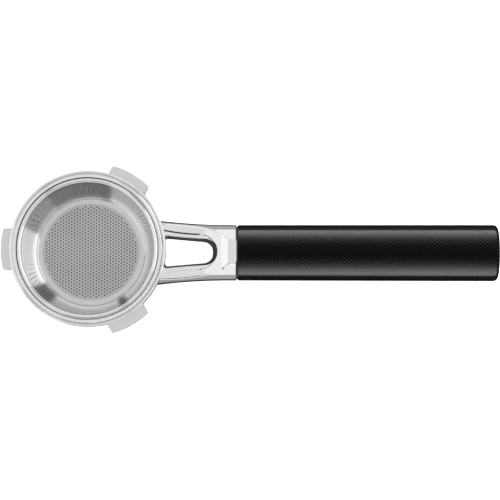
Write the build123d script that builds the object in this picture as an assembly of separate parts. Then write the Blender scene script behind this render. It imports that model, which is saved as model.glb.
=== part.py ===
from build123d import *
from math import cos, pi, radians, sin, sqrt
import os

# Espresso portafilter. Millimetres, +Z up, +X along the handle.
# The origin is on the head's axis, in the plane of the body's top rim.

# Head ring and cup
RING_R = 34.5  # outer radius of the spigot above the lugs
SKIRT_R = 34.0  # outer radius from the lugs down
RIM_SEAT_R = 31.5  # recess that takes the basket's rolled rim
RIM_SEAT_Z = -1.8  # floor of that recess
BORE_R = 30.1  # bore below the recess
RING_FOOT_Z = -13.0  # the ring's straight wall ends here
CUP_FLOOR_Z = -32.0  # underside of the cup
RIM_GROOVE_R = 33.2  # middle of the narrow V groove in the top rim
RIM_GROOVE_W = 0.9
RIM_GROOVE_DEPTH = 0.8
EDGE = 0.4  # small edge break on machined corners

# Spring groove inside the bore
WIRE_R = 0.6
SPRING_R = 30.45  # radius of the wire's centre line
SPRING_GAP = 22.0  # opening between the spring's ends, degrees
GROOVE_R = 31.4
GROOVE_TOP_Z = -8.4
GROOVE_H = 1.5

# Lugs
LUG_ANGLES = (60, 180, 300)
LUG_R = 38.7
LUG_WIDTH = 18.5
LUG_TOP_Z = -4.0
LUG_H = 4.5
LUG_CORNER = 1.2
LUG_CHAMFER = 0.15

# Basket: one stamping
SHEET = 0.6
BASKET_R = 29.2  # inner radius of the straight upper wall
BEAD_R = 1.0  # outer radius of the rolled rim's section
BEAD_Z = RIM_SEAT_Z + BEAD_R
BASKET_BEND_Z = -10.0  # the wall starts to taper here
BASKET_FLOOR_R = 24.2  # inner radius where the wall reaches the floor
BASKET_FLOOR_Z = -22.6  # upper face of the floor
FLOOR_CORNER = 1.0
HOLE_FIELD_R = 21.2  # the perforations fill this circle
HOLE_PITCH = 1.44
HOLE_D = 0.6

# Outlet under the cup: the stub is drawn at its 3/8 inch thread's root, the spout's
# socket just outside the thread's crests
OUTLET_R = 4.6
BOSS_R = 11.0
BOSS_FACE_Z = -35.0
THREAD_ROOT_R = 7.65
SOCKET_R = 8.4
THREAD_END_Z = -43.0

# Twin spout
WASHER_T = 1.2
WASHER_INNER_R = 8.6
HUB_TOP_Z = BOSS_FACE_Z - WASHER_T
HUB_R = 11.5
HUB_END_Z = -50.0
SOCKET_END_Z = -44.2
ARM_R = 5.8
ARM_BORE_R = 4.1
TIP_Y = 15.5
TIP_Z = -62.0
ARM_START = (3.5, -44.5)  # y and z where each arm's centre line leaves the hub
ARM_BEND_Z = -50.5
ARM_BEND_R = 6.5

# Neck, along the handle's axis
AXIS_Z = -27.0
NECK_R = 12.6
NECK_ROOT_R = 15.4
NECK_ROOT_X = 24.0
FLARE_END_X = 62.0
FLARE_SAG = 0.7
COLLAR_END_X = 65.5
FLAT_X = 61.7  # the collar's flat ends here and a short ramp leads down
FLAT_H = 11.4  # height of that flat above the handle's axis
RAMP_X = 58.7
RAMP_H = 9.9
SCOOP_LOW = (46.5, 6.3)  # lowest point of the scooped top: x and height above the axis
SCOOP_ROOT = (30.0, 7.6)
BELLY_START = (61.7, 12.2)  # where the underside's hollow starts: x and depth below the axis
BELLY_LOW = (46.0, 7.2)
BELLY_ROOT = (30.0, 4.9)

# Window through the neck
WINDOW_X = 33.2
WINDOW_HALF_W = 6.3
WINDOW_END_HALF_W = 4.4
WINDOW_END_X = 54.8
WINDOW_CORNER = 1.2
WINDOW_DRAFT = 13.0  # both halves widen from the level of the handle's axis, degrees
WINDOW_TOP_ROUND = 0.3
WINDOW_LOW_ROUND = 1.0
LIP_LEVEL = 3.0  # both mouths lie further than this from the level of the handle's axis
LIP_SLOPE = 0.9  # sine of the steepest climb along a mouth; the walls' own seams are steeper
ON_WALL = 0.001

# Shallow step round the window's mouth on the neck's top; the plan is taken STEP_PLAN_H
# above the axis and its side slopes outwards
STEP_X = 25.2
STEP_HALF_W = 9.7
STEP_END_X = 54.4
STEP_END_HALF_W = 6.55
STEP_PLAN_H = 4.0
STEP_DRAFT = 20.0
STEP_DEPTH = 1.5
CREST_ROUND = 0.7

# Tang, collar seal and pins
TANG_R = 6.5
TANG_END_X = 90.0
TANG_HOLE_X = 70.0  # bottom of the tapped hole
GASKET_T = 0.6
GASKET_R = 11.9
PIN_R = 1.2
PIN_Y = 8.4
PIN_FROM_X = 60.5
PIN_TO_X = 72.5

# Grip
GRIP_FRONT_X = COLLAR_END_X + GASKET_T
GRIP_FRONT_R = 12.55
GRIP_REAR_R = 12.74
GRIP_END_X = 183.5
GRIP_END_ROUND = 2.0
SLEEVE_BORE_R = 10.3
CORE_R = 10.2
CORE_END_X = 180.0
CAP_POCKET_R = 8.0
CAP_POCKET_X = 160.0

# Tie bolt, M6 x 80 with a socket head
BOLT_R = 3.0
BOLT_LENGTH = 80.0
BOLT_HEAD_R = 5.0
BOLT_HEAD_H = 6.0
HEX_SOCKET = 5.0  # across flats
BOLT_SEAT_X = 150.0
SEAT_POCKET_R = 6.6
PLAIN_WASHER_R = 6.0
WASHER_THICK = 1.6
HEAD_X = BOLT_SEAT_X + 2 * WASHER_THICK

# End cap
CAP_R = 10.2
CAP_BOSS_R = 7.8
CAP_BOSS_X = 171.0
CAP_DOME = 0.6
CAP_RING_X = 175.0
CAP_RING_WIRE_R = 0.75
CAP_RING_R = 7.15
CAP_GROOVE_R = 6.4
CAP_GROOVE_W = 1.8

FIT = 0.1  # clearance between fixed pieces that slide together


def turned(outline, radii, axis=Axis.Z):
    """Solid of revolution of a closed outline whose corners have the given radii."""
    path = FilletPolyline(*outline, radius=radii, close=True)
    return revolve(Plane.XZ * make_face(path), axis)


def along_x(outline, radii=0.0):
    """Solid turned about the handle's axis; the outline is (x, radius) pairs."""
    path = FilletPolyline(*outline, radius=radii, close=True)
    return Pos(0, 0, AXIS_Z) * revolve(Plane.XZ * make_face(path), Axis.X)


def rod_x(radius, x_from, x_to, y=0.0, z=AXIS_Z):
    """Round rod along X between two stations."""
    return Pos((x_from + x_to) / 2, y, z) * Rot(0, 90, 0) * Cylinder(radius, x_to - x_from)


def cup_outside():
    """Ring, cup and outlet boss, turned, without the cavity."""
    groove_in = RIM_GROOVE_R - RIM_GROOVE_W / 2
    groove_out = RIM_GROOVE_R + RIM_GROOVE_W / 2
    outline = [
        (0, 0),
        (groove_in, 0),
        (RIM_GROOVE_R, -RIM_GROOVE_DEPTH),
        (groove_out, 0),
        (RING_R, 0),
        (RING_R, LUG_TOP_Z),
        (SKIRT_R, LUG_TOP_Z),
        (SKIRT_R, RING_FOOT_Z),
        (SKIRT_R - 2.3, RING_FOOT_Z - 5.0),
        (SKIRT_R - 3.7, CUP_FLOOR_Z + 0.6),
        (BOSS_R + 4.0, CUP_FLOOR_Z - 0.6),
        (BOSS_R, BOSS_FACE_Z),
        (THREAD_ROOT_R, BOSS_FACE_Z),
        (THREAD_ROOT_R, THREAD_END_Z),
        (0, THREAD_END_Z),
    ]
    radii = [0, 0.3, 0.15, 0.3, EDGE, 0, 0, 4.0, 6.0, 7.0, 3.0, EDGE, 0, EDGE, 0]
    return turned(outline, radii)


def cup_cavity():
    """Space inside the cup: rim seat, bore, spring groove, funnel and outlet."""
    groove_low = GROOVE_TOP_Z - GROOVE_H
    outline = [
        (0, 1),
        (RIM_SEAT_R, 1),
        (RIM_SEAT_R, RIM_SEAT_Z),
        (BORE_R, RIM_SEAT_Z),
        (BORE_R, GROOVE_TOP_Z),
        (GROOVE_R, GROOVE_TOP_Z),
        (GROOVE_R, groove_low),
        (BORE_R, groove_low),
        (BORE_R, RING_FOOT_Z + 1.5),
        (BORE_R - 2.4, CUP_FLOOR_Z + 4.4),
        (OUTLET_R + 1.0, CUP_FLOOR_Z + 2.2),
        (OUTLET_R, THREAD_END_Z - 1),
        (0, THREAD_END_Z - 1),
    ]
    radii = [0, 0, 0.2, 0.3, 0, 0.2, 0.2, 0, 3.0, 4.0, 2.0, 0, 0]
    return turned(outline, radii)


def lug(angle):
    """One locking lug: parallel sides and a round outer face."""
    outer = Cylinder(LUG_R, LUG_H)
    bar = Pos(LUG_R / 2 + 12, 0, 0) * Box(LUG_R - 22, LUG_WIDTH, LUG_H)
    block = outer & bar
    tips = block.edges().filter_by(Axis.Z).group_by(Axis.X)[-1]
    block = fillet(tips, LUG_CORNER)
    rims = block.faces().sort_by(Axis.X)[-1].edges().filter_by(Axis.Z, reverse=True)
    block = chamfer(rims, LUG_CHAMFER)
    return Rot(0, 0, angle) * Pos(0, 0, LUG_TOP_Z - LUG_H / 2) * block


def neck_outside():
    """Neck turned about the handle's axis, flared towards the cup."""
    flare = SagittaArc((NECK_ROOT_X, NECK_ROOT_R), (FLARE_END_X, NECK_R), -FLARE_SAG)
    rest = Polyline(
        (FLARE_END_X, NECK_R),
        (COLLAR_END_X - EDGE, NECK_R),
        (COLLAR_END_X, NECK_R - EDGE),
        (COLLAR_END_X, 0),
        (NECK_ROOT_X, 0),
        (NECK_ROOT_X, NECK_ROOT_R),
    )
    face = make_face(Curve() + [flare, rest])
    return Pos(0, 0, AXIS_Z) * revolve(Plane.XZ * face, Axis.X)


def scoop_above(drop=0.0):
    """Space above the neck's top: collar flat, short ramp and long hollow."""
    top = NECK_ROOT_R + 5
    ramp_end = (RAMP_X, RAMP_H - drop)
    low = (SCOOP_LOW[0], SCOOP_LOW[1] - drop)
    root = (SCOOP_ROOT[0], SCOOP_ROOT[1] - drop)
    hollow = ThreePointArc(ramp_end, low, root)
    rest = Polyline(
        root,
        (root[0] - 10, root[1]),
        (root[0] - 10, top),
        (COLLAR_END_X + 1, top),
        (COLLAR_END_X + 1, FLAT_H),
        (FLAT_X, FLAT_H),
        ramp_end,
    )
    face = Plane.XZ * make_face(Curve() + [hollow, rest])
    return Pos(0, 0, AXIS_Z) * extrude(face, NECK_ROOT_R + 5, both=True)


def scoop_below():
    """Space under the neck's hollow underside."""
    bottom = -NECK_ROOT_R - 5
    start = (BELLY_START[0], -BELLY_START[1])
    root = (BELLY_ROOT[0], -BELLY_ROOT[1])
    hollow = ThreePointArc(start, (BELLY_LOW[0], -BELLY_LOW[1]), root)
    back = root[0] - 10
    rest = Polyline(root, (back, root[1]), (back, bottom), (start[0], bottom), start)
    face = Plane.XZ * make_face(Curve() + [hollow, rest])
    return Pos(0, 0, AXIS_Z) * extrude(face, NECK_ROOT_R + 5, both=True)


def window_cutter():
    """The neck's window: square at the cup, round at the far end, widening up and down."""
    r = WINDOW_END_HALF_W
    outline = [
        (WINDOW_X, -WINDOW_HALF_W),
        (WINDOW_END_X, -r),
        (WINDOW_END_X, r),
        (WINDOW_X, WINDOW_HALF_W),
    ]
    corner = r * 0.97
    path = FilletPolyline(*outline, radius=[WINDOW_CORNER, corner, corner, WINDOW_CORNER], close=True)
    plan = make_face(path)
    upper = extrude(plan, NECK_R, taper=-WINDOW_DRAFT)
    lower = extrude(plan, -NECK_R, taper=-WINDOW_DRAFT)
    return Pos(0, 0, AXIS_Z) * (upper + lower)


def window_step():
    """Shallow sunk step round the window's mouth, running out at the window's round end."""
    r = STEP_END_HALF_W
    outline = [(STEP_X, -STEP_HALF_W), (STEP_END_X, -r), (STEP_END_X, r), (STEP_X, STEP_HALF_W)]
    plan = make_face(FilletPolyline(*outline, radius=[0.5, r * 0.9, r * 0.9, 0.5], close=True))
    prism = extrude(plan, NECK_R - STEP_PLAN_H, taper=-STEP_DRAFT)
    return Pos(0, 0, AXIS_Z + STEP_PLAN_H) * prism & scoop_above(STEP_DEPTH)


def window_lip(neck, cutter, side):
    """Edges of the window's mouth on the neck's top (side 1) or underside (side -1)."""
    edges = neck.edges().filter_by(lambda e: side * (e.center().Z - AXIS_Z) > LIP_LEVEL)
    edges = edges.filter_by(lambda e: abs((e % 0.5).Z) < LIP_SLOPE)
    return edges.filter_by(lambda e: min(f.distance_to(e @ 0.5) for f in cutter.faces()) < ON_WALL)


def portafilter_body():
    """The casting: ring, lugs, cup, neck, collar and tang in one piece."""
    neck = neck_outside()
    neck -= scoop_above() + scoop_below()
    crests = neck.edges().filter_by(lambda e: e.bounding_box().size.X > 20)
    crests = crests.filter_by(lambda e: abs(e.center().Y) > WINDOW_HALF_W)
    neck = fillet(crests, CREST_ROUND)
    neck -= window_step()
    cutter = window_cutter()
    neck -= cutter
    neck = fillet(window_lip(neck, cutter, 1), WINDOW_TOP_ROUND)
    neck = fillet(window_lip(neck, cutter, -1), WINDOW_LOW_ROUND)
    body = cup_outside() + neck
    for angle in LUG_ANGLES:
        body += lug(angle)
    body -= cup_cavity()
    tang = along_x([(60, 0), (60, TANG_R), (TANG_END_X, TANG_R), (TANG_END_X, 0)], [0, 0, 0.8, 0])
    body += tang
    body -= rod_x(BOLT_R, TANG_HOLE_X, TANG_END_X + 1)
    for side in (-1, 1):
        body -= rod_x(PIN_R, PIN_FROM_X, COLLAR_END_X + 1, side * PIN_Y)
    return body


def hole_centres():
    """Hexagonal lattice of perforations inside the hole field."""
    column = HOLE_PITCH * sqrt(3) / 2
    reach = int(HOLE_FIELD_R / column)
    centres = []
    for i in range(-reach, reach + 1):
        for j in range(-reach - 1, reach + 2):
            x = i * column
            y = (j + (i % 2) / 2) * HOLE_PITCH
            if sqrt(x * x + y * y) < HOLE_FIELD_R - HOLE_D:
                centres.append((x, y))
    return centres


def perforated_floor(radius):
    """Flat round floor with its holes, cut as one face and thickened."""
    rim = Wire.make_circle(radius)
    holes = [Wire.make_circle(HOLE_D / 2, Plane((x, y, 0))) for x, y in hole_centres()]
    plate = Solid.extrude(Face(rim, holes), Vector(0, 0, SHEET))
    return Pos(0, 0, BASKET_FLOOR_Z - SHEET) * plate


def filter_basket():
    """Stamped basket: rolled rim, straight wall, tapered wall, perforated floor."""
    centre = BASKET_R + BEAD_R
    curl = BEAD_R - SHEET
    bead = [
        ThreePointArc((BASKET_R, BEAD_Z), (centre, BEAD_Z + BEAD_R), (centre + BEAD_R, BEAD_Z)),
        ThreePointArc(
            (centre + BEAD_R, BEAD_Z),
            (centre + BEAD_R * cos(pi / 4), BEAD_Z - BEAD_R * sin(pi / 4)),
            (centre, BEAD_Z - BEAD_R),
        ),
        Line((centre, BEAD_Z - BEAD_R), (centre, BEAD_Z - curl)),
        ThreePointArc(
            (centre, BEAD_Z - curl),
            (centre + curl * cos(pi / 4), BEAD_Z - curl * sin(pi / 4)),
            (centre + curl, BEAD_Z),
        ),
        ThreePointArc((centre + curl, BEAD_Z), (centre, BEAD_Z + curl), (centre - curl, BEAD_Z)),
    ]
    outer_r = BASKET_R + SHEET
    joint_r = HOLE_FIELD_R + 0.8
    outer_floor_r = BASKET_FLOOR_R + SHEET * 0.75
    low = BASKET_FLOOR_Z - SHEET
    outside = FilletPolyline(
        (outer_r, BEAD_Z),
        (outer_r, BASKET_BEND_Z),
        (outer_floor_r, low),
        (joint_r, low),
        radius=[2.0 + SHEET, FLOOR_CORNER + SHEET],
    )
    inside = FilletPolyline(
        (joint_r, BASKET_FLOOR_Z),
        (BASKET_FLOOR_R, BASKET_FLOOR_Z),
        (BASKET_R, BASKET_BEND_Z),
        (BASKET_R, BEAD_Z),
        radius=[FLOOR_CORNER, 2.0],
    )
    end = Line((joint_r, low), (joint_r, BASKET_FLOOR_Z))
    face = make_face(Curve() + bead + [outside, end, inside])
    shell = revolve(Plane.XZ * face, Axis.Z)
    return shell + perforated_floor(joint_r)


def basket_spring():
    """Open wire ring that lies in the body's groove."""
    half = radians(SPRING_GAP / 2)
    z = GROOVE_TOP_Z - GROOVE_H + WIRE_R
    start = (SPRING_R * cos(half), SPRING_R * sin(half), z)
    end = (SPRING_R * cos(half), -SPRING_R * sin(half), z)
    path = ThreePointArc(start, (-SPRING_R, 0, z), end)
    section = Plane(origin=start, z_dir=path % 0) * Circle(WIRE_R)
    return Rot(0, 0, 180) * sweep(section, path=path)


def spout_washer():
    """Flat seal between the boss and the spout."""
    ring = Cylinder(BOSS_R - 0.2, WASHER_T) - Cylinder(WASHER_INNER_R, WASHER_T)
    return Pos(0, 0, BOSS_FACE_Z - WASHER_T / 2) * ring


def arm_path(side, start):
    """Centre line of one arm: out and down from the hub, then straight down."""
    return FilletPolyline(
        (0, side * start[0], start[1]),
        (0, side * TIP_Y, ARM_BEND_Z),
        (0, side * TIP_Y, TIP_Z),
        radius=ARM_BEND_R,
    )


def arm_tube(side, start, radius):
    """Round bar along one arm's centre line."""
    path = arm_path(side, start)
    section = Plane(origin=path @ 0, z_dir=path % 0) * Circle(radius)
    return sweep(section, path=path)


def twin_spout():
    """Threaded hub with two arms that turn down, hollow throughout."""
    hub = turned(
        [(0, HUB_TOP_Z), (HUB_R, HUB_TOP_Z), (HUB_R, HUB_END_Z + 2), (HUB_R - 4, HUB_END_Z), (0, HUB_END_Z)],
        [0, 0.6, 3.0, 2.0, 0],
    )
    spout = hub
    for side in (-1, 1):
        spout += arm_tube(side, ARM_START, ARM_R)
    spout -= turned(
        [
            (0, HUB_TOP_Z + 1),
            (SOCKET_R, HUB_TOP_Z + 1),
            (SOCKET_R, SOCKET_END_Z),
            (SOCKET_R - 1.5, SOCKET_END_Z - 1.5),
            (0, SOCKET_END_Z - 1.5),
        ],
        [0, 0, 0, 0.8, 0],
    )
    for side in (-1, 1):
        spout -= arm_tube(side, ARM_START, ARM_BORE_R)
    return spout


def collar_gasket():
    """Thin seal between the collar and the grip, with holes for the pins."""
    gasket = rod_x(GASKET_R, COLLAR_END_X, GRIP_FRONT_X)
    gasket -= rod_x(TANG_R + FIT, COLLAR_END_X, GRIP_FRONT_X)
    for side in (-1, 1):
        gasket -= rod_x(PIN_R + FIT, COLLAR_END_X, GRIP_FRONT_X, side * PIN_Y)
    return gasket


def locating_pins():
    """Two pins between the collar and the core."""
    pin = rod_x(PIN_R, PIN_FROM_X, PIN_TO_X)
    pin = chamfer(pin.edges(), 0.3)
    return Compound([Pos(0, side * PIN_Y, 0) * pin for side in (-1, 1)])


def handle_core():
    """Moulded core: socket for the tang, bolt bore, washer seat and cap pocket."""
    core = along_x(
        [(GRIP_FRONT_X, 0), (GRIP_FRONT_X, CORE_R), (CORE_END_X, CORE_R), (CORE_END_X, 0)],
        [0, EDGE, EDGE, 0],
    )
    core -= rod_x(TANG_R + FIT, GRIP_FRONT_X - 1, TANG_END_X + 0.5)
    core -= rod_x(BOLT_R + 0.3, TANG_END_X, BOLT_SEAT_X + 1)
    core -= rod_x(SEAT_POCKET_R, BOLT_SEAT_X, CAP_POCKET_X + 1)
    core -= rod_x(CAP_POCKET_R, CAP_POCKET_X, CORE_END_X + 1)
    for side in (-1, 1):
        core -= rod_x(PIN_R + 0.05, GRIP_FRONT_X - 1, PIN_TO_X + 0.5, side * PIN_Y)
    return core


def grip_sleeve():
    """Black outer sleeve, very slightly larger towards its rounded end."""
    outline = [
        (GRIP_FRONT_X, SLEEVE_BORE_R),
        (GRIP_FRONT_X, GRIP_FRONT_R),
        (GRIP_END_X, GRIP_REAR_R),
        (GRIP_END_X, SLEEVE_BORE_R),
    ]
    return along_x(outline, [0.2, 0.3, GRIP_END_ROUND, 0.2])


def tie_bolt():
    """Long socket-head screw that pulls the core onto the tang."""
    tip_x = HEAD_X - BOLT_LENGTH
    head_end = HEAD_X + BOLT_HEAD_H
    outline = [
        (tip_x, 0),
        (tip_x, BOLT_R - 0.6),
        (tip_x + 0.6, BOLT_R),
        (HEAD_X, BOLT_R),
        (HEAD_X, BOLT_HEAD_R),
        (head_end, BOLT_HEAD_R),
        (head_end, 0),
    ]
    bolt = along_x(outline, [0, 0, 0, 0.2, 0, 0.5, 0])
    hexagon = RegularPolygon(HEX_SOCKET / 2, 6, major_radius=False)
    socket = Plane(origin=(head_end, 0, AXIS_Z), z_dir=(-1, 0, 0)) * extrude(hexagon, BOLT_HEAD_H / 2)
    return bolt - socket


def bolt_washer():
    """Plain washer on the core's seat."""
    ring = rod_x(PLAIN_WASHER_R, BOLT_SEAT_X, BOLT_SEAT_X + WASHER_THICK)
    return ring - rod_x(BOLT_R + 0.2, BOLT_SEAT_X, BOLT_SEAT_X + WASHER_THICK)


def lock_washer():
    """Split washer under the bolt's head."""
    x_from = BOLT_SEAT_X + WASHER_THICK
    ring = rod_x(BOLT_HEAD_R + 0.3, x_from, HEAD_X) - rod_x(BOLT_R + 0.3, x_from, HEAD_X)
    split = Pos((x_from + HEAD_X) / 2, 0, AXIS_Z + BOLT_HEAD_R - 1) * Rot(0, 0, 25) * Box(5, 0.6, 4)
    return ring - split


def end_cap():
    """Domed disc with a boss that plugs the core's rear pocket."""
    dome = TangentArc((GRIP_END_X + CAP_DOME, 0), (GRIP_END_X, CAP_R), tangent=(0, 1))
    groove_from = CAP_RING_X - CAP_GROOVE_W / 2
    groove_to = CAP_RING_X + CAP_GROOVE_W / 2
    rest = Polyline(
        (GRIP_END_X + CAP_DOME, 0),
        (CAP_BOSS_X, 0),
        (CAP_BOSS_X, CAP_BOSS_R - 0.5),
        (CAP_BOSS_X + 0.5, CAP_BOSS_R),
        (groove_from, CAP_BOSS_R),
        (groove_from, CAP_GROOVE_R),
        (groove_to, CAP_GROOVE_R),
        (groove_to, CAP_BOSS_R),
        (CORE_END_X, CAP_BOSS_R),
        (CORE_END_X, CAP_R),
        (GRIP_END_X, CAP_R),
    )
    face = make_face(Curve() + [dome, rest])
    return Pos(0, 0, AXIS_Z) * revolve(Plane.XZ * face, Axis.X)


def cap_ring():
    """O-ring in the cap's groove."""
    return Pos(CAP_RING_X, 0, AXIS_Z) * Rot(0, 90, 0) * Torus(CAP_RING_R, CAP_RING_WIRE_R)


NODES = {
    "portafilter_body": portafilter_body,
    "filter_basket": filter_basket,
    "basket_spring": basket_spring,
    "spout_washer": spout_washer,
    "twin_spout": twin_spout,
    "collar_gasket": collar_gasket,
    "locating_pins": locating_pins,
    "handle_core": handle_core,
    "grip_sleeve": grip_sleeve,
    "tie_bolt": tie_bolt,
    "bolt_washer": bolt_washer,
    "lock_washer": lock_washer,
    "end_cap": end_cap,
    "cap_ring": cap_ring,
}

os.makedirs("parts", exist_ok=True)
for name, make in NODES.items():
    export_step(make(), f"parts/{name}.step")
    print("wrote", name)
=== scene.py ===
from math import cos, pi, radians, sin, tan, tau
import bpy
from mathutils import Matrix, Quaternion, Vector


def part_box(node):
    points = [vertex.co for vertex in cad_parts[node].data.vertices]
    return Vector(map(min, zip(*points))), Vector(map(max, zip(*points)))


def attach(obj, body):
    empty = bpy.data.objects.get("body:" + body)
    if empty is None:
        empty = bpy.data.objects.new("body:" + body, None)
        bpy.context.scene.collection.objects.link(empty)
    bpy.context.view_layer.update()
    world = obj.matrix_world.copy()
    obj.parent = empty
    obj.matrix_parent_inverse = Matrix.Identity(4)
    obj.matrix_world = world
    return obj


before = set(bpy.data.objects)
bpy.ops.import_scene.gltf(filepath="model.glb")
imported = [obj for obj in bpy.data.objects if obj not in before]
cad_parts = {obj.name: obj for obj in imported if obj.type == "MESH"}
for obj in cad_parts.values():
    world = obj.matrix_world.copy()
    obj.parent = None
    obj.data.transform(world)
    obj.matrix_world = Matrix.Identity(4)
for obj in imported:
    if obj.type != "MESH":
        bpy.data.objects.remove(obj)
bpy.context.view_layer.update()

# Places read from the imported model, in metres
basket_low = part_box("filter_basket")[0]
spout_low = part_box("twin_spout")[0]
washer_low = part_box("spout_washer")[0]
grip_low, grip_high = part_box("grip_sleeve")
AXIS_Z = (grip_low.z + grip_high.z) / 2  # height of the grip's axis

# Sizes that the boxes don't give
SPOUT_TRAVEL = 0.0082  # the spout comes down this far as it unscrews
FLOOR_ROOM = 0.0005  # left under the spout when it is right down
FLOOR_Z = spout_low.z - SPOUT_TRAVEL - FLOOR_ROOM
GRIP_CELLS_ROUND = 47.0  # diamonds round the grip
GRIP_CELL_LENGTH = 0.00187
RIM_R = 0.0345  # outer radius of the ring above the lugs
LUG_TOP_Z = -0.004  # the lugs lie between these two levels
LUG_LOW_Z = -0.0085
SHEET = 0.0006  # thickness of the basket
BASKET_FLOOR_Z = basket_low.z + SHEET
RIM_FOOT_Z = -0.0025  # the basket's rolled rim lies above this level
CAVITY_R = 0.0303  # the cup's inside lies within this radius
CAVITY_LOW_Z = -0.0306  # and above this level
HOLE_FIELD_R = 0.0212  # the basket's floor is drilled within this radius
WALL_FINISH_RISE = 0.0009  # from this far above the basket's floor the finish is all the wall's

# Where the lugs' matte finish starts, just outside their faces
MATTE_FROM_R = RIM_R + 0.00005
MATTE_TOP_Z = LUG_TOP_Z + 0.0001
MATTE_LOW_Z = LUG_LOW_Z - 0.0004

# Widths over which one finish gives way to the next
LUG_BLEND = 0.0003
CAVITY_BLEND = 0.0002
SEAT_BLEND = 0.0005
CORNER_BLEND = 0.0006
FIELD_BLEND = 0.001


# ---------------------------------------------------------------- materials

class Nodes:
    """Short way to build a node material: every call adds a node and returns its output."""

    def __init__(self, name):
        self.material = bpy.data.materials.new(name)
        self.material.use_nodes = True
        self.tree = self.material.node_tree
        self.tree.nodes.clear()
        output = self.tree.nodes.new("ShaderNodeOutputMaterial")
        self.shader = self.tree.nodes.new("ShaderNodeBsdfPrincipled")
        self.tree.links.new(self.shader.outputs[0], output.inputs["Surface"])
        self.coords = self.tree.nodes.new("ShaderNodeTexCoord").outputs["Object"]

    @classmethod
    def for_tree(cls, tree):
        """The same helper for a tree that isn't a material's."""
        nodes = cls.__new__(cls)
        nodes.tree = tree
        return nodes

    def link(self, source, socket):
        if isinstance(source, (int, float, tuple)):
            socket.default_value = source
        else:
            self.tree.links.new(source, socket)

    def math(self, operation, a, b=0.0):
        node = self.tree.nodes.new("ShaderNodeMath")
        node.operation = operation
        for value, socket in zip((a, b), node.inputs):
            self.link(value, socket)
        return node.outputs[0]

    def radius(self, x, y):
        """Distance from the head's axis."""
        squares = self.math("ADD", self.math("MULTIPLY", x, x), self.math("MULTIPLY", y, y))
        return self.math("SQRT", squares)

    def split(self, vector):
        node = self.tree.nodes.new("ShaderNodeSeparateXYZ")
        self.link(vector, node.inputs[0])
        return node.outputs

    def join(self, x, y, z):
        node = self.tree.nodes.new("ShaderNodeCombineXYZ")
        for value, socket in zip((x, y, z), node.inputs):
            self.link(value, socket)
        return node.outputs[0]

    def noise(self, vector, scale, detail=2.0, roughness=0.5, distortion=0.0):
        node = self.tree.nodes.new("ShaderNodeTexNoise")
        self.link(vector, node.inputs["Vector"])
        node.inputs["Scale"].default_value = scale
        node.inputs["Detail"].default_value = detail
        node.inputs["Roughness"].default_value = roughness
        node.inputs["Distortion"].default_value = distortion
        return node.outputs["Fac"]

    def remap(self, value, from_low, from_high, to_low, to_high):
        node = self.tree.nodes.new("ShaderNodeMapRange")
        for number, socket in zip((value, from_low, from_high, to_low, to_high), node.inputs):
            self.link(number, socket)
        return node.outputs[0]

    def above(self, value, level, blend):
        """0 up to the level, 1 from blend above it."""
        return self.remap(value, level, level + blend, 0.0, 1.0)

    def below(self, value, level, blend):
        """0 down to the level, 1 from blend below it."""
        return self.remap(value, level, level - blend, 0.0, 1.0)

    def mix(self, factor, a, b):
        node = self.tree.nodes.new("ShaderNodeMix")
        node.data_type = "RGBA"
        self.link(factor, node.inputs["Factor"])
        self.link(a, node.inputs[6])
        self.link(b, node.inputs[7])
        return node.outputs[2]

    def bump(self, height, distance, strength, normal=None):
        node = self.tree.nodes.new("ShaderNodeBump")
        node.inputs["Strength"].default_value = strength
        node.inputs["Distance"].default_value = distance
        self.link(height, node.inputs["Height"])
        if normal is not None:
            self.link(normal, node.inputs["Normal"])
        return node.outputs[0]

    def facing(self):
        """How far the surface turns away from the eye: 0 square on, 1 edge on."""
        node = self.tree.nodes.new("ShaderNodeLayerWeight")
        node.inputs["Blend"].default_value = 0.5
        return node.outputs["Facing"]

    def steps(self, value, marks):
        """Ramp through (position, brightness) marks, straight between them."""
        node = self.tree.nodes.new("ShaderNodeValToRGB")
        self.link(value, node.inputs[0])
        stops = node.color_ramp.elements
        for stop, (place, level) in zip(stops, (marks[0], marks[-1])):
            stop.position = place
            stop.color = grey(level)
        for place, level in marks[1:-1]:
            stops.new(place).color = grey(level)
        return node.outputs[0]

    def set(self, **sockets):
        for name, value in sockets.items():
            self.link(value, self.shader.inputs[name.replace("_", " ")])
        return self.material


def grey(level, warm=0.0):
    """Neutral colour with a touch of warmth."""
    return (level * (1 + warm), level, level * (1 - warm), 1.0)


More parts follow.
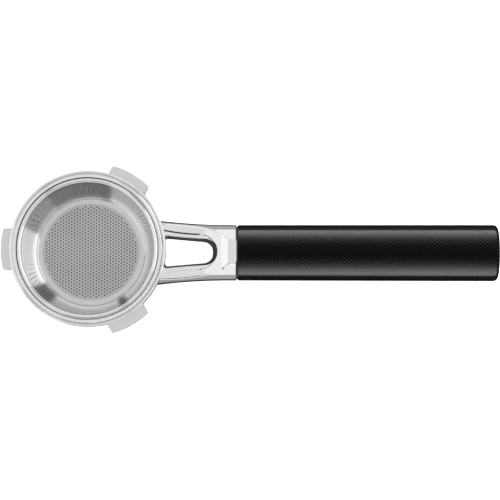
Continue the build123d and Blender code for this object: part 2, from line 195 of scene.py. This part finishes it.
def polished_casting():
    """Chrome over a polished casting; the lugs' faces stay matte and the cup's hollow is dull, with
    painted shade darkening its colour.
    """
    n = Nodes("polished_casting")
    x, y, z = n.split(n.coords)
    radius = n.radius(x, y)
    outside = n.above(radius, MATTE_FROM_R, LUG_BLEND)
    under_top = n.below(z, MATTE_TOP_Z, LUG_BLEND / 2)
    above_foot = n.above(z, MATTE_LOW_Z, LUG_BLEND)
    lug = n.math("MULTIPLY", outside, n.math("MULTIPLY", under_top, above_foot))
    cast = n.noise(n.coords, 90.0, 3.0)
    grain = n.noise(n.coords, 2600.0, 2.0)
    swirl = n.noise(n.coords, 420.0, 4.0, 0.6, 1.2)
    polish = n.remap(swirl, 0.3, 0.75, 0.04, 0.10)
    blasted = n.remap(grain, 0.3, 0.7, 0.38, 0.5)
    smooth_part = n.math("MULTIPLY", n.math("SUBTRACT", 1.0, lug), polish)
    rough = n.math("ADD", smooth_part, n.math("MULTIPLY", lug, blasted))
    # Painted shade: the cup's hollow behind the basket gets a dark colour; it is also rougher.
    within = n.below(radius, CAVITY_R, CAVITY_BLEND)
    below_seat = n.below(z, RIM_FOOT_Z, SEAT_BLEND)
    above_shell = n.above(z, CAVITY_LOW_Z, CAVITY_BLEND)
    dull_shaded_inside = n.math("MULTIPLY", within, n.math("MULTIPLY", below_seat, above_shell))
    rough = n.math("ADD", rough, n.math("MULTIPLY", dull_shaded_inside, 0.4))
    skin_with_painted_shade = n.mix(dull_shaded_inside, n.mix(cast, grey(0.71), grey(0.77)), n.mix(cast, grey(0.16), grey(0.24)))
    colour = n.mix(lug, skin_with_painted_shade, n.mix(grain, grey(0.58, 0.01), grey(0.64, 0.01)))
    wave = n.bump(cast, 0.00003, 0.5)
    fine = n.bump(n.math("MULTIPLY", grain, n.remap(lug, 0.0, 1.0, 0.06, 1.0)), 0.00004, 0.5, wave)
    return n.set(Base_Color=colour, Metallic=1.0, Roughness=rough, Normal=fine)


def basket_steel():
    """Stamped stainless: polished wall with a painted highlight on its rolled top, floor brushed in
    circles and darker where it is perforated, a painted shade of the holes.
    """
    n = Nodes("basket_steel")
    x, y, z = n.split(n.coords)
    radius = n.radius(x, y)
    floor = n.below(z, BASKET_FLOOR_Z + WALL_FINISH_RISE, CORNER_BLEND)
    wall = n.math("SUBTRACT", 1.0, floor)
    # Painted shade: the perforated part of the floor is given a darker colour for the shade of its
    # holes.
    drilled_shade_mask = n.math("MULTIPLY", floor, n.below(radius, HOLE_FIELD_R + FIELD_BLEND, FIELD_BLEND))
    rings = n.noise(n.join(radius, n.math("MULTIPLY", z, 1.5), 0.0), 2600.0, 2.0)
    smear = n.noise(n.coords, 55.0, 3.0)
    polished = n.remap(rings, 0.3, 0.7, 0.115, 0.145)
    brushed = n.remap(rings, 0.3, 0.7, 0.14, 0.18)
    rough = n.math("ADD", n.math("MULTIPLY", wall, polished), n.math("MULTIPLY", floor, brushed))
    # Painted highlight: the rolled rim above the seat is much lighter than the wall.
    rim_highlight = n.above(z, RIM_FOOT_Z - SEAT_BLEND, SEAT_BLEND)
    wall_and_rim_highlight = n.mix(rim_highlight, n.mix(smear, grey(0.92), grey(0.97)), n.mix(smear, grey(0.68), grey(0.74)))
    satin = n.mix(smear, grey(0.55), grey(0.61))
    holed_painted_shade = n.mix(smear, grey(0.39), grey(0.45))
    tangent = n.tree.nodes.new("ShaderNodeTangent")
    tangent.direction_type = "RADIAL"
    tangent.axis = "Z"
    return n.set(
        Base_Color=n.mix(drilled_shade_mask, n.mix(floor, wall_and_rim_highlight, satin), holed_painted_shade),
        Metallic=1.0,
        Roughness=rough,
        Normal=n.bump(rings, 0.000004, 0.3),
        Anisotropic=0.95,
        Anisotropic_Rotation=0.25,
        Tangent=tangent.outputs[0],
    )


# The grip's specular level by how far the surface turns away from the eye, 0 to 1
GRIP_GLOSS = (
    (0.0, 0.033),
    (0.12, 0.04),
    (0.25, 0.058),
    (0.35, 0.094),
    (0.395, 0.1),
    (0.435, 0.012),
    (1.0, 0.012),
)


def black_grip():
    """Satin black with a fine diamond relief that runs round the grip."""
    n = Nodes("black_grip")
    x, y, z = n.split(n.coords)
    angle = n.math("ARCTAN2", y, n.math("SUBTRACT", z, AXIS_Z))
    around = n.math("MULTIPLY", angle, GRIP_CELLS_ROUND)
    along = n.math("MULTIPLY", x, tau / GRIP_CELL_LENGTH)
    rise = n.math("SINE", n.math("ADD", around, along))
    fall = n.math("SINE", n.math("SUBTRACT", around, along))
    uneven = n.noise(n.coords, 900.0, 3.0)
    weave = n.remap(n.math("ADD", rise, fall), -2.0, 2.0, 0.0, 1.0)
    relief = n.math("ADD", weave, n.math("MULTIPLY", uneven, 0.8))
    dust = n.noise(n.coords, 70.0, 3.0)
    rough = n.math("ADD", n.remap(weave, 0.0, 1.0, 0.18, 0.26), n.remap(dust, 0.3, 0.7, -0.02, 0.03))
    colour = n.mix(weave, grey(0.0006), grey(0.0014))
    normal = n.bump(relief, 0.00022, 0.6)
    gloss = n.steps(n.facing(), GRIP_GLOSS)
    return n.set(Base_Color=colour, Roughness=rough, Normal=normal, Specular_IOR_Level=gloss)


def moulded_plastic(name, level):
    """Black moulding with a fine spark-eroded grain."""
    n = Nodes(name)
    grain = n.noise(n.coords, 2200.0, 3.0)
    cloud = n.noise(n.coords, 120.0, 2.0)
    colour = n.mix(cloud, grey(level), grey(level * 1.6))
    rough = n.remap(grain, 0.3, 0.7, 0.38, 0.52)
    return n.set(Base_Color=colour, Roughness=rough, Normal=n.bump(grain, 0.00004, 0.4))


def rubber(name, dark, light):
    """Matte elastomer with a dusty bloom."""
    n = Nodes(name)
    grain = n.noise(n.coords, 1500.0, 3.0)
    bloom = n.noise(n.coords, 160.0, 3.0)
    colour = n.mix(n.remap(bloom, 0.35, 0.7, 0.0, 1.0), dark, light)
    rough = n.remap(grain, 0.3, 0.7, 0.62, 0.8)
    return n.set(Base_Color=colour, Roughness=rough, Normal=n.bump(grain, 0.00005, 0.4))


def turned_steel(name, level, rough_low, rough_high, warm=0.0):
    """Turned or drawn steel: fine lines around the part, slight tarnish."""
    n = Nodes(name)
    lines = n.noise(n.coords, 2600.0, 2.0)
    tarnish = n.noise(n.coords, 240.0, 4.0)
    colour = n.mix(tarnish, grey(level * 0.85, warm), grey(level * 1.1, warm))
    rough = n.remap(lines, 0.3, 0.7, rough_low, rough_high)
    return n.set(Base_Color=colour, Metallic=1.0, Roughness=rough, Normal=n.bump(lines, 0.00002, 0.3))


def paint_nodes():
    """Gives every CAD node its material."""
    casting = polished_casting()
    steel = turned_steel("spring_steel", 0.6, 0.15, 0.28)
    zinc = turned_steel("zinc_steel", 0.66, 0.22, 0.36, 0.01)
    seal = rubber("black_rubber", grey(0.012), grey(0.03))
    finishes = {
        "portafilter_body": casting,
        "twin_spout": casting,
        "filter_basket": basket_steel(),
        "basket_spring": steel,
        "locating_pins": steel,
        "spout_washer": rubber("seal_fibre", (0.25, 0.035, 0.02, 1), (0.36, 0.06, 0.04, 1)),
        "collar_gasket": seal,
        "cap_ring": seal,
        "handle_core": moulded_plastic("core_plastic", 0.02),
        "grip_sleeve": black_grip(),
        "end_cap": moulded_plastic("black_cap", 0.006),
        "tie_bolt": turned_steel("black_oxide_steel", 0.1, 0.28, 0.42),
        "bolt_washer": zinc,
        "lock_washer": zinc,
    }
    for name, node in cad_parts.items():
        node.data.materials.clear()
        node.data.materials.append(finishes[name])


# ---------------------------------------------------------------- outlet thread

THREAD_PITCH = 0.001337  # one turn of the 3/8 inch pipe thread
THREAD_ROOT_R = 0.00765  # the stub's own radius
THREAD_CREST_R = 0.0083
SOCKET_R = 0.0084
SOCKET_CREST_R = 0.00775
TURN_STEPS = 72
RUN_OUT = 0.2  # share of a turn over which the ridge fades in and out
FLANK = 0.30  # half the ridge's width at its root, in pitches
CREST = 0.05  # and at its crest
ROOT_SINK = 0.00005  # the ridge's root lies this far inside the wall
THREAD_LOW_Z = -0.0425  # both threads start at this level
OUTLET_THREAD_TOP_Z = washer_low.z + 0.0002  # runs on just past the spout's socket
SPOUT_THREAD_TOP_Z = washer_low.z - 0.001


def ridge(name, wall_r, crest_r, z_from, z_to, phase):
    """Helical right-hand V ridge that stands on a round wall."""
    into_wall = wall_r + (ROOT_SINK if wall_r > crest_r else -ROOT_SINK)
    steps = int((z_to - z_from) / THREAD_PITCH * TURN_STEPS)
    base = THREAD_PITCH * FLANK
    tip = THREAD_PITCH * CREST
    points = []
    for i in range(steps + 1):
        turn = i / TURN_STEPS
        angle = tau * (turn + phase)
        z = z_from + turn * THREAD_PITCH
        rise = min(1.0, turn / RUN_OUT, (steps - i) / TURN_STEPS / RUN_OUT)
        top = into_wall + (crest_r - into_wall) * rise
        for r, dz in ((into_wall, -base), (top, -tip), (top, tip), (into_wall, base)):
            points.append((r * cos(angle), r * sin(angle), z + dz))
    faces = []
    for i in range(steps):
        for k in range(3):
            a = 4 * i + k
            faces.append((a, a + 1, a + 5, a + 4))
    mesh = bpy.data.meshes.new(name)
    mesh.from_pydata(points, [], faces)
    mesh.update()
    piece = bpy.data.objects.new(name, mesh)
    bpy.context.scene.collection.objects.link(piece)
    piece.data.materials.append(bpy.data.materials["polished_casting"])
    return piece


def make_threads():
    """The outlet's thread and the spout's, half a pitch apart so that they mesh."""
    male = ridge("outlet_thread", THREAD_ROOT_R, THREAD_CREST_R, THREAD_LOW_Z, OUTLET_THREAD_TOP_Z, 0.0)
    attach(male, "body_and_handle")
    female = ridge("spout_thread", SOCKET_R, SOCKET_CREST_R, THREAD_LOW_Z, SPOUT_THREAD_TOP_Z, 0.5)
    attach(female, "spout")


# ---------------------------------------------------------------- stage

LOOK_AT = Vector((0.0716, -0.00062, 0.0))
CAMERA_OFFSET = Vector((0.0, -0.067, 0.9577))  # from the point looked at
CAMERA_ANGLE = 13.07  # field of view, degrees
CAMERA_ROLL = 0.08  # degrees
FLOOR_RADIUS = 0.6
OVERHEAD_POWER = 60.0
OVERHEAD_SIZE = 1.6
OVERHEAD_HEIGHT = 1.6
STRIP_DISTANCE = 0.5
STRIP_FROM_X = -0.1
STRIP_TO_X = 0.5
# Elevation of each soft box's edges seen from the grip's axis, in degrees, and its radiance
STRIPS = ((-13, -4, 22.0), (-4, 8, 19.0), (8, 20, 15.0), (20, 32, 10.0), (32, 44, 6.0), (44, 54, 2.0))
SIDE_GAIN = {-1: 1.15, 1: 0.95}  # the strips at -Y are the brighter ones


def make_camera():
    """Camera almost straight above, a few degrees towards -Y."""
    data = bpy.data.cameras.new("camera")
    data.sensor_width = 36.0
    data.angle = radians(CAMERA_ANGLE)
    data.clip_start = 0.05
    camera = bpy.data.objects.new("camera", data)
    bpy.context.scene.collection.objects.link(camera)
    camera.location = LOOK_AT + CAMERA_OFFSET
    upright = (LOOK_AT - camera.location).to_track_quat("-Z", "Y")
    camera.rotation_euler = (upright @ Quaternion((0, 0, 1), radians(CAMERA_ROLL))).to_euler()
    bpy.context.scene.camera = camera


# Studio light by direction. Panels at mid height round the object, each from one azimuth to the
# next, in degrees from +X towards +Y, with its brightness.
PANELS = (
    (0, 42, 2.3),
    (42, 62, 0.06),
    (62, 122, 1.12),
    (122, 129, 0.02),
    (129, 242, 1.12),
    (242, 307, 0.03),
    (307, 345, 0.5),
    (345, 360, 2.3),
)
PANEL_EDGE = 1.2  # half the soft edge between two panels, degrees
PANEL_LOW = 37.0  # elevations between which the panels stand
PANEL_HIGH = 60.0

# Brightness by elevation everywhere else, in degrees: dark below, then grey, a bright wall of
# light from just below the horizon to the panels, and the big pale box overhead.
HEIGHTS = (
    (-90, 0.04),
    (-60, 0.05),
    (-52, 0.42),
    (-20, 0.52),
    (-16, 1.15),
    (30, 1.15),
    (34, 1.30),
    (38, 1.30),
    (60, 0.95),
    (90, 0.95),
)
GAP_LOW = 60.0  # a dim gap below the overhead box, towards both sides of the handle
GAP_HIGH = 65.0
GAP_LIGHT = 0.2
GAP_SIDES = (0.35, 0.6)  # it fades in between these sines of the azimuth
HEIGHT_EDGE = 1.0  # half the soft edge between two elevations, degrees


def make_world():
    """Studio as brightness by direction: low wall of light, panels, gap and overhead box."""
    world = bpy.data.worlds.new("studio")
    bpy.context.scene.world = world
    world.use_nodes = True
    n = Nodes.for_tree(world.node_tree)
    x, y, z = n.split(n.tree.nodes.new("ShaderNodeTexCoord").outputs["Generated"])
    turn = n.math("DIVIDE", n.math("ARCTAN2", y, x), tau)
    azimuth = n.math("FRACT", n.math("ADD", turn, 1.0))
    marks = []
    for start, end, level in PANELS:
        marks.append(((start + PANEL_EDGE) / 360, level))
        marks.append(((end - PANEL_EDGE) / 360, level))
    panels = n.steps(azimuth, marks)
    elevation = n.math("MULTIPLY", n.math("ARCSINE", z), 180 / pi)
    height = n.remap(elevation, -90.0, 90.0, 0.0, 1.0)
    heights = n.steps(height, [((degrees + 90) / 180, level) for degrees, level in HEIGHTS])
    from_low = n.above(elevation, PANEL_LOW - HEIGHT_EDGE, 2 * HEIGHT_EDGE)
    to_high = n.below(elevation, PANEL_HIGH + HEIGHT_EDGE, 2 * HEIGHT_EDGE)
    room = n.mix(n.math("MULTIPLY", from_low, to_high), heights, panels)
    from_gap = n.above(elevation, GAP_LOW - HEIGHT_EDGE, 2 * HEIGHT_EDGE)
    to_box = n.below(elevation, GAP_HIGH + HEIGHT_EDGE, 2 * HEIGHT_EDGE)
    sine = n.math("ABSOLUTE", n.math("SINE", n.math("MULTIPLY", turn, tau)))
    sideways = n.remap(sine, GAP_SIDES[0], GAP_SIDES[1], 0.0, 1.0)
    gap = n.math("MULTIPLY", n.math("MULTIPLY", from_gap, to_box), sideways)
    light = n.mix(gap, room, grey(GAP_LIGHT))
    n.tree.links.new(light, n.tree.nodes["Background"].inputs[0])


def make_floor():
    """Pale floor. The metal sees the studio past it."""
    bpy.ops.mesh.primitive_circle_add(vertices=96, radius=FLOOR_RADIUS, fill_type="NGON")
    floor = bpy.context.object
    floor.name = "floor"
    floor.location = (LOOK_AT.x, 0, FLOOR_Z)
    floor.visible_glossy = False
    n = Nodes("pale_floor")
    cloud = n.noise(n.coords, 30.0, 2.0)
    colour = n.mix(cloud, grey(0.88), grey(0.92))
    floor.data.materials.append(n.set(Base_Color=colour, Roughness=0.9, Specular_IOR_Level=0.0))


def make_overhead_light():
    """Large soft light above that brightens the floor and adds no reflection of its own."""
    data = bpy.data.lights.new("overhead", "AREA")
    data.shape = "DISK"
    data.size = OVERHEAD_SIZE
    data.energy = OVERHEAD_POWER
    light = bpy.data.objects.new("overhead", data)
    bpy.context.scene.collection.objects.link(light)
    light.location = (LOOK_AT.x, 0, OVERHEAD_HEIGHT)
    light.visible_glossy = False


def make_grip_strips():
    """Long soft boxes beside the grip, brightest at the bottom, that light the grip alone."""
    receivers = bpy.data.collections.new("grip_only")
    for name in ("grip_sleeve", "end_cap"):
        receivers.objects.link(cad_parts[name])
    length = STRIP_TO_X - STRIP_FROM_X
    for side in (-1, 1):
        for low_degrees, high_degrees, radiance in STRIPS:
            low = AXIS_Z + STRIP_DISTANCE * tan(radians(low_degrees))
            high = AXIS_Z + STRIP_DISTANCE * tan(radians(high_degrees))
            data = bpy.data.lights.new("strip", "AREA")
            data.shape = "RECTANGLE"
            data.size = length
            data.size_y = high - low
            data.energy = SIDE_GAIN[side] * radiance * pi * length * (high - low)
            strip = bpy.data.objects.new("strip", data)
            bpy.context.scene.collection.objects.link(strip)
            strip.location = ((STRIP_FROM_X + STRIP_TO_X) / 2, side * STRIP_DISTANCE, (low + high) / 2)
            strip.rotation_euler = (radians(-90 * side), 0, 0)
            strip.visible_camera = False
            strip.visible_diffuse = False
            strip.light_linking.receiver_collection = receivers


paint_nodes()
make_threads()
make_camera()
make_world()
make_floor()
make_overhead_light()
make_grip_strips()
bpy.context.scene.view_settings.view_transform = "Standard"
